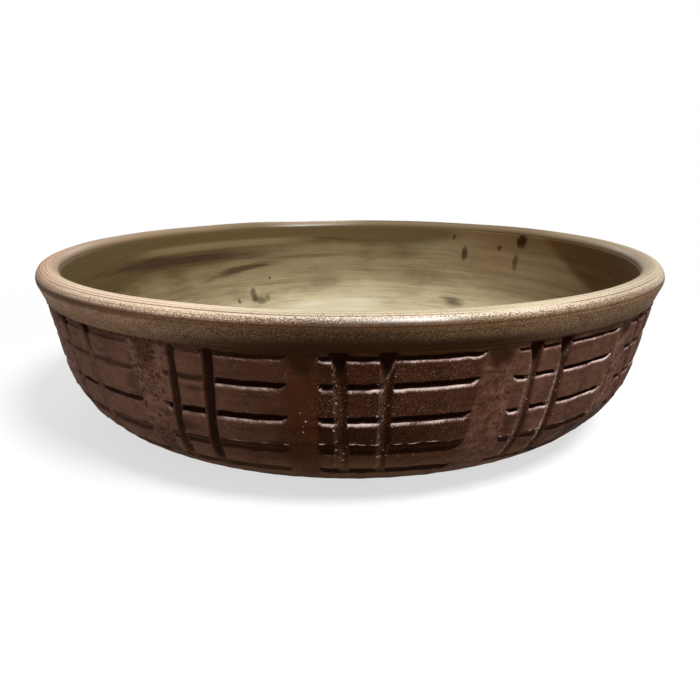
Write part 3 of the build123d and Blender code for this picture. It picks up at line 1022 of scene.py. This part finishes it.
    def cut_bars(self):
        """Cuts the two upright bars of every panel through its rows."""
        angles, along, carving, panel = self.angles, self.along, self.carving, self.panel
        bars, crossed, stain_and_shade, light = np.zeros((4, *angles.shape))
        ragged = 0.55 + 0.45 * np.cos(ripple(angles, 71, (211, 307, 401, 523), 2.5))
        for side, order in enumerate((FIRST_BAR, SECOND_BAR)):
            edge = self.line(order)
            half = (self.line(order + 1) - edge) / 2
            depths = self.of_panel([CUTS[cut][5][side] for cut in CUT_OF_PANEL])
            stains = self.of_panel([CUTS[cut][6][side] for cut in CUT_OF_PANEL])
            even = smooth(1.0, 1.1, depths)
            sideways = (angles - edge) / half - 1
            offset = np.abs(sideways)

            # A scoop at the top that narrows to a point, except in the deepest bars, which are cut evenly
            point = 1.3 * np.clip(1 - along / SCOOP_LENGTH, 0.001, 1) ** 0.8
            scoop = np.clip(1 - (offset / point) ** 3, 0, 1) * smooth(*SCOOP_STARTS, along) * (1 - even)
            scoop = scoop * (1 - smooth(*SCOOP_STOPS, along))

            # The bar that runs on from it, deeper to its right
            waist = 1 - 0.06 * np.cos(along * 260 + 1.3 * panel + side)
            across = offset / waist
            slanted = np.clip((sideways / waist + 1) / 1.4, 0, 1) ** 1.3
            hollow = np.clip(1 - across**2.6, 0, 1) * (even + (1 - even) * slanted)
            round_end = 1 - np.sqrt(np.clip(1 - across**2, 0, 1))
            starts = carving.bar_top + half * self.radius * round_end
            ends = 1 - smooth(carving.bar_foot - BAR_FADE, carving.bar_foot, along)
            reach = smooth(0.0, BAR_ROUNDING, along - starts) * ends
            full_depth = 0.72 + 0.4 * even * hill(along, 0.006)
            full_depth = full_depth + 0.08 * np.cos(along * 310 + 2.1 * panel + side)
            eased = even + (1 - even) * smooth(*BAR_DEEPENS, along)
            groove = carving.bar_depth * depths * full_depth * hollow * reach * eased
            bars = np.maximum(bars, np.maximum(groove, 1.2 * carving.bar_depth * scoop**0.7))
            crossing = np.maximum(smooth(0.0, 0.3, hollow) * reach, smooth(0.0, 0.2, scoop))
            crossed = np.maximum(crossed, crossing)

            # Iron and painted shade in the hollow, a painted shadow in the scoop, worn clay with painted
            # highlights on the sides, and white flecks
            shaded = even + (1 - even) * smooth(0.0, 0.5, sideways)
            stained_and_shaded = stains * smooth(0.15, 0.7, hollow) * reach * shaded
            # The scoop is painted dark as the shadow that its top edge casts
            stain_and_shade = np.maximum(stain_and_shade, np.maximum(smooth(0.05, 0.25, scoop), stained_and_shaded))
            beside = hill(across - 1.0, 0.05) * reach * smooth(*EDGES_WEAR, along)
            brim = hill(offset / point - 1.0, 0.10) * (1 - even) * (sideways * (side - 0.5) > 0)
            brim = brim * smooth(*BRIM_STARTS, along) * (1 - smooth(*BRIM_STOPS, along))
            rough = (1 - smooth(0.8, 1.05, across)) * reach * smooth(*CLAY_TEARS, along) * (1 - even)
            frosted_and_lit = self.of_panel(FROST) * rough * (1 - smooth(-0.6, 0.2, sideways)) * ragged
            wear_and_light = np.maximum(0.12 * beside * ragged, np.maximum(0.4 * brim * ragged, frosted_and_lit))
            light = np.maximum(light, wear_and_light)
            self.torn = np.maximum(self.torn, rough)
            flecked = (1 - smooth(0.8, 1.9, across)) * reach * smooth(*FLECKS_START, along)
            self.fleck = np.maximum(self.fleck, flecked * self.of_panel(FLECKS))
        self.sunk = np.maximum(self.sunk * (1 - crossed), bars)
        self.dark = np.maximum(self.dark * (1 - crossed), stain_and_shade)
        self.rub_and_highlight = np.maximum(self.rub_and_highlight * (1 - crossed), light * self.ledges)
        self.raised += carving.burr * light * (1 - self.torn)

    def run_glaze(self):
        """Flecks the gaps between the panels, and gives the glaze that ran down them from the collar."""
        angles, along = self.angles, self.along
        next_start = self.lines[:, (self.panel + 1) * PANEL_LINES]
        half_gap = np.maximum((next_start - self.line(END)) / 2 * self.radius, 0.002)
        from_middle = (angles - (self.line(END) + next_start) / 2) * self.radius
        splash = hill(from_middle, SPLASH_REACH) * hill(along - SPLASH_DROP, SPLASH_REACH)
        self.fleck = np.maximum(self.fleck, splash * self.of_panel(GRIT))
        run_length = np.array(BIB_LENGTHS)[self.panel % len(BIB_LENGTHS)]
        run_width = np.minimum(half_gap * 1.3, BIB_WIDTH)
        away = np.sqrt((from_middle / run_width) ** 2 + (along / run_length) ** 2)
        runs = 1 - smooth(0.58, 1.06, away + ripple(angles, 90, (61, 127, 199), 0.05))
        edge = 1 - smooth(*GLAZE_EDGE, along + ripple(angles, 91, (37, 83, 151), GLAZE_WAVER))
        return np.maximum(runs, edge)

    def carve(self):
        """Rings of the wall from the underside's edge up to the collar edge, and what the finish needs."""
        self.cut_rows()
        self.cut_bars()
        bib = self.run_glaze()
        angles, along, carving = self.angles, self.along, self.carving
        past_rows = along - self.last_row
        in_rows = smooth(*WASH_TOP, along) * (1 - smooth(*WASH_FOOT, past_rows))
        in_panel = smooth(*WASH_START, self.from_start) * smooth(*WASH_END, self.to_end)
        settle = smooth(*WALL_SETTLES, along)
        scraped = carving.gap_scrape * (1 - in_panel) * in_rows
        lift = self.raised - self.sunk - scraped + BIB_THICKNESS * bib * settle
        calm = settle * (1 - 0.7 * smooth(*WALL_CALMS, past_rows))
        calm = calm * (1 - 0.5 * smooth(0, 0.001, self.sunk))
        lift = lift + calm * dapple(angles, along, 3, carving.unevenness, (18, 120), (-500, 500))
        lift = lift + self.torn * dapple(angles, along, 4, carving.tear, (250, 700), (-3600, 3600))
        rings = around(self.radius + self.out * lift, self.height + self.up * lift, angles)
        values = (self.dark, self.rub_and_highlight, self.fleck, in_panel * in_rows, bib)
        return rings[::-1], {name: value[::-1] for name, value in zip(WALL_VALUES, values)}


class SUIBAN_OT_carve_body(Operator):
    """Throw the body and carve its lattice"""

    bl_idname = "suiban.carve_body"
    bl_label = "Carve Body"
    bl_options = {"REGISTER", "UNDO"}

    def execute(self, context):
        vessel = context.scene.suiban_vessel
        section = Section(vessel)
        lattice = Lattice(section, context.scene.suiban_carving)
        wall, values = lattice.carve()
        low_angles, top_angles = lattice.angles[-1], lattice.angles[0]
        steps = [(section.belly[0] * step, section.underside) for step in UNDERSIDE_STEPS]
        below = spin(np.array(steps), low_angles)
        coat = vessel.glaze_coat
        under_rim = section.rim(coat, lip_count=6, collar_count=2)
        under_liner = section.liner(coat, floor_count=2, cove_count=5, wall_count=2)[::-1]
        hidden = np.concatenate((under_rim, under_liner[1:]))
        rings = np.concatenate((below, wall, hand_smoothed(spin(hidden, top_angles), top_angles, vessel)))
        poles = ((0, 0, section.underside), (0, 0, section.floor - coat))
        mesh = turned_mesh("carved_body", rings, poles)
        for name, value in values.items():
            keep_values(mesh, name, np.concatenate((np.zeros(below.shape[:2]), value)))
        place(mesh, iron_stoneware, "stoneware_body", "iron_stoneware")
        return {"FINISHED"}


class SUIBAN_OT_turn_foot(Operator):
    """Turn the foot ring under the floor"""

    bl_idname = "suiban.turn_foot"
    bl_label = "Turn Foot Ring"
    bl_options = {"REGISTER", "UNDO"}

    def execute(self, context):
        vessel = context.scene.suiban_vessel
        section = Section(vessel)
        outer = section.belly[0] - vessel.foot_inset
        inner = outer - vessel.foot_width
        edge = vessel.foot_round
        inner_round = turn((inner + edge, edge), edge, run(math.pi, 1.5 * math.pi, ROUNDING_POINTS))
        outer_round = turn((outer - edge, edge), edge, run(-math.pi / 2, 0, ROUNDING_POINTS))
        top = ((outer, section.underside), (inner, section.underside))
        profile = np.concatenate((inner_round, outer_round, top))
        mesh = turned_mesh("turned_foot", spin(profile, all_round(FOOT_COLUMNS)))
        mesh.set_sharp_from_angle(angle=math.radians(SHARP_DEGREES))
        place(mesh, bare_stoneware, "foot_ring", "bare_stoneware")
        return {"FINISHED"}


class SUIBAN_OT_pour_liner(Operator):
    """Pour the glaze that lines the inside"""

    bl_idname = "suiban.pour_liner"
    bl_label = "Pour Liner Glaze"
    bl_options = {"REGISTER", "UNDO"}

    def execute(self, context):
        vessel = context.scene.suiban_vessel
        section = Section(vessel)
        angles = all_round(LINER_COLUMNS)
        under = section.liner(vessel.glaze_coat, floor_count=3, cove_count=9, wall_count=4)
        clay = spin(under, angles)
        face = section.liner(0.0, floor_count=12, cove_count=26, wall_count=34)[::-1]
        rings = spin(face, angles)
        # Throwing rings: shallow waves that climb once round the wall
        heights = face[:, 1:]
        fade = smooth(section.floor, section.floor + THROW_STARTS, heights)
        fade = fade * (1 - smooth(*THROW_STOPS, heights))
        wide, fine = [heights * (FULL_TURN / step) for step in THROW_STEPS]
        throw = THROW_HEIGHT * fade * (np.cos(wide + angles) + 0.6 * np.cos(fine - angles))
        rings += around(throw, 0 * throw, angles)
        poles = ((0, 0, section.floor - vessel.glaze_coat), (0, 0, section.floor))
        mesh = turned_mesh("liner_coat", np.concatenate((clay, rings)), poles)
        place(mesh, liner_glaze, "inside_glaze", "liner_glaze")
        return {"FINISHED"}


class SUIBAN_OT_dip_rim(Operator):
    """Dip the lip and the collar in ash glaze"""

    bl_idname = "suiban.dip_rim"
    bl_label = "Dip Rim"
    bl_options = {"REGISTER", "UNDO"}

    def execute(self, context):
        vessel = context.scene.suiban_vessel
        section = Section(vessel)
        angles = all_round(RIM_COLUMNS)
        face = section.rim(0.0, lip_count=34, collar_count=20)
        steps = np.linalg.norm(np.diff(face, axis=0), axis=1)
        reach = np.concatenate(((0.0,), np.cumsum(steps)))
        rings = hand_smoothed(spin(face, angles), angles, vessel)
        under = section.rim(vessel.glaze_coat, lip_count=10, collar_count=4)[::-1]
        clay = hand_smoothed(spin(under, angles), angles, vessel)
        mesh = turned_mesh("rim_coat", np.concatenate((rings, clay)))
        over = np.broadcast_to((reach[-1] - reach)[:, None], rings.shape[:2])
        keep_values(mesh, "along", over)
        place(mesh, ash_glaze, "rim_glaze", "ash_glaze")
        return {"FINISHED"}


class SUIBAN_OT_set_stage(Operator):
    """Lay a pale floor, hang two soft lights and set the camera"""

    bl_idname = "suiban.set_stage"
    bl_label = "Set Stage"
    bl_options = {"REGISTER", "UNDO"}

    def execute(self, context):
        scene = context.scene
        stage = scene.suiban_stage
        paint = bpy.data.materials.new("stage_floor")
        finish = Finish(paint)
        seen = self.seen_or_mirrored(finish)
        far = finish.node("ShaderNodeVectorMath", {"operation": "LENGTH"}, {0: finish.spot()}, output="Value")
        tint = finish.mix(seen, tuple(stage.floor_pale), tuple(stage.floor_white))
        lit = finish.node("ShaderNodeBsdfDiffuse", sockets={"Color": tint})
        white = finish.node("ShaderNodeEmission", sockets={"Color": (1, 1, 1, 1), "Strength": 1.0})
        glow = (FLOOR_GLOW + (1 - FLOOR_GLOW) * finish.rise(far, *FLOOR_WHITENS)) * seen
        finish.end(finish.node("ShaderNodeMixShader", sockets={0: glow, 1: lit, 2: white}))
        mesh = bpy.data.meshes.new("stage_floor")
        corners = [(x * FLOOR_HALF, y * FLOOR_HALF, 0) for x, y in ((-1, -1), (1, -1), (1, 1), (-1, 1))]
        mesh.from_pydata(corners, [], ((0, 1, 2, 3),))
        mesh.materials.append(paint)
        floor = bpy.data.objects.new("stage_floor", mesh)
        scene.collection.objects.link(floor)

        scene.world = bpy.data.worlds.new("stage_light")
        sky = Finish(scene.world)
        level = stage.fill + (1 - stage.fill) * self.seen_or_mirrored(sky)
        light = sky.node("ShaderNodeBackground", sockets={"Color": (1, 1, 1, 1), "Strength": level})
        sky.end(light, "ShaderNodeOutputWorld")

        self.hang("key_light", stage.key_power, stage.key_size, KEY_PLACE)
        self.hang("back_light", stage.back_power, stage.back_size, BACK_PLACE)

        camera = bpy.data.cameras.new("camera")
        camera.sensor_width = CAMERA_SENSOR
        camera.lens = CAMERA_LENS
        view = bpy.data.objects.new("camera", camera)
        view.location = CAMERA_PLACE
        view.rotation_euler = (math.pi / 2 - CAMERA_TILT, 0, 0)
        scene.collection.objects.link(view)
        scene.camera = view
        scene.view_settings.view_transform = "Standard"
        return {"FINISHED"}

    def hang(self, name, power, size, spot):
        """Hangs a round soft light that points at the foot of the basin."""
        lamp = bpy.data.lights.new(name, "AREA")
        lamp.shape = "DISK"
        lamp.size = size
        lamp.energy = power
        light = bpy.data.objects.new(name, lamp)
        light.location = spot
        light.rotation_euler = (-light.location).to_track_quat("-Z", "Y").to_euler()
        bpy.context.scene.collection.objects.link(light)

    def seen_or_mirrored(self, finish):
        """1 where the camera looks straight, or in a reflection or through glass, and 0 for other light."""
        rays = finish.every_output("ShaderNodeLightPath")
        total = rays["Is Camera Ray"] + rays["Is Glossy Ray"] + rays["Is Transmission Ray"]
        return finish.maths("MINIMUM", total, 1.0)


class SUIBAN_PT_maker(Panel):
    """Sizes, colours and steps of the basin"""

    bl_idname = "SUIBAN_PT_maker"
    bl_label = "Suiban"
    bl_space_type = "VIEW_3D"
    bl_region_type = "UI"
    bl_category = "Suiban"

    def draw(self, context):
        for operator in OPERATORS:
            self.layout.operator(operator.bl_idname)
        for name, group in GROUPS.items():
            box = self.layout.box()
            for field in group.__annotations__:
                box.prop(getattr(context.scene, name), field)


GROUPS = {
    "suiban_vessel": SuibanVessel,
    "suiban_carving": SuibanCarving,
    "suiban_finishes": SuibanFinishes,
    "suiban_stage": SuibanStage,
}
OPERATORS = (
    SUIBAN_OT_carve_body,
    SUIBAN_OT_turn_foot,
    SUIBAN_OT_pour_liner,
    SUIBAN_OT_dip_rim,
    SUIBAN_OT_set_stage,
)


def register():
    for group in GROUPS.values():
        bpy.utils.register_class(group)
    for name, group in GROUPS.items():
        setattr(bpy.types.Scene, name, PointerProperty(type=group))
    for operator in OPERATORS:
        bpy.utils.register_class(operator)
    bpy.utils.register_class(SUIBAN_PT_maker)


def unregister():
    bpy.utils.unregister_class(SUIBAN_PT_maker)
    for operator in reversed(OPERATORS):
        bpy.utils.unregister_class(operator)
    for name in GROUPS:
        delattr(bpy.types.Scene, name)
    for group in reversed(GROUPS.values()):
        bpy.utils.unregister_class(group)


def main():
    register()
    bpy.ops.suiban.carve_body()
    bpy.ops.suiban.turn_foot()
    bpy.ops.suiban.pour_liner()
    bpy.ops.suiban.dip_rim()
    bpy.ops.suiban.set_stage()


if __name__ == "__main__":
    main()
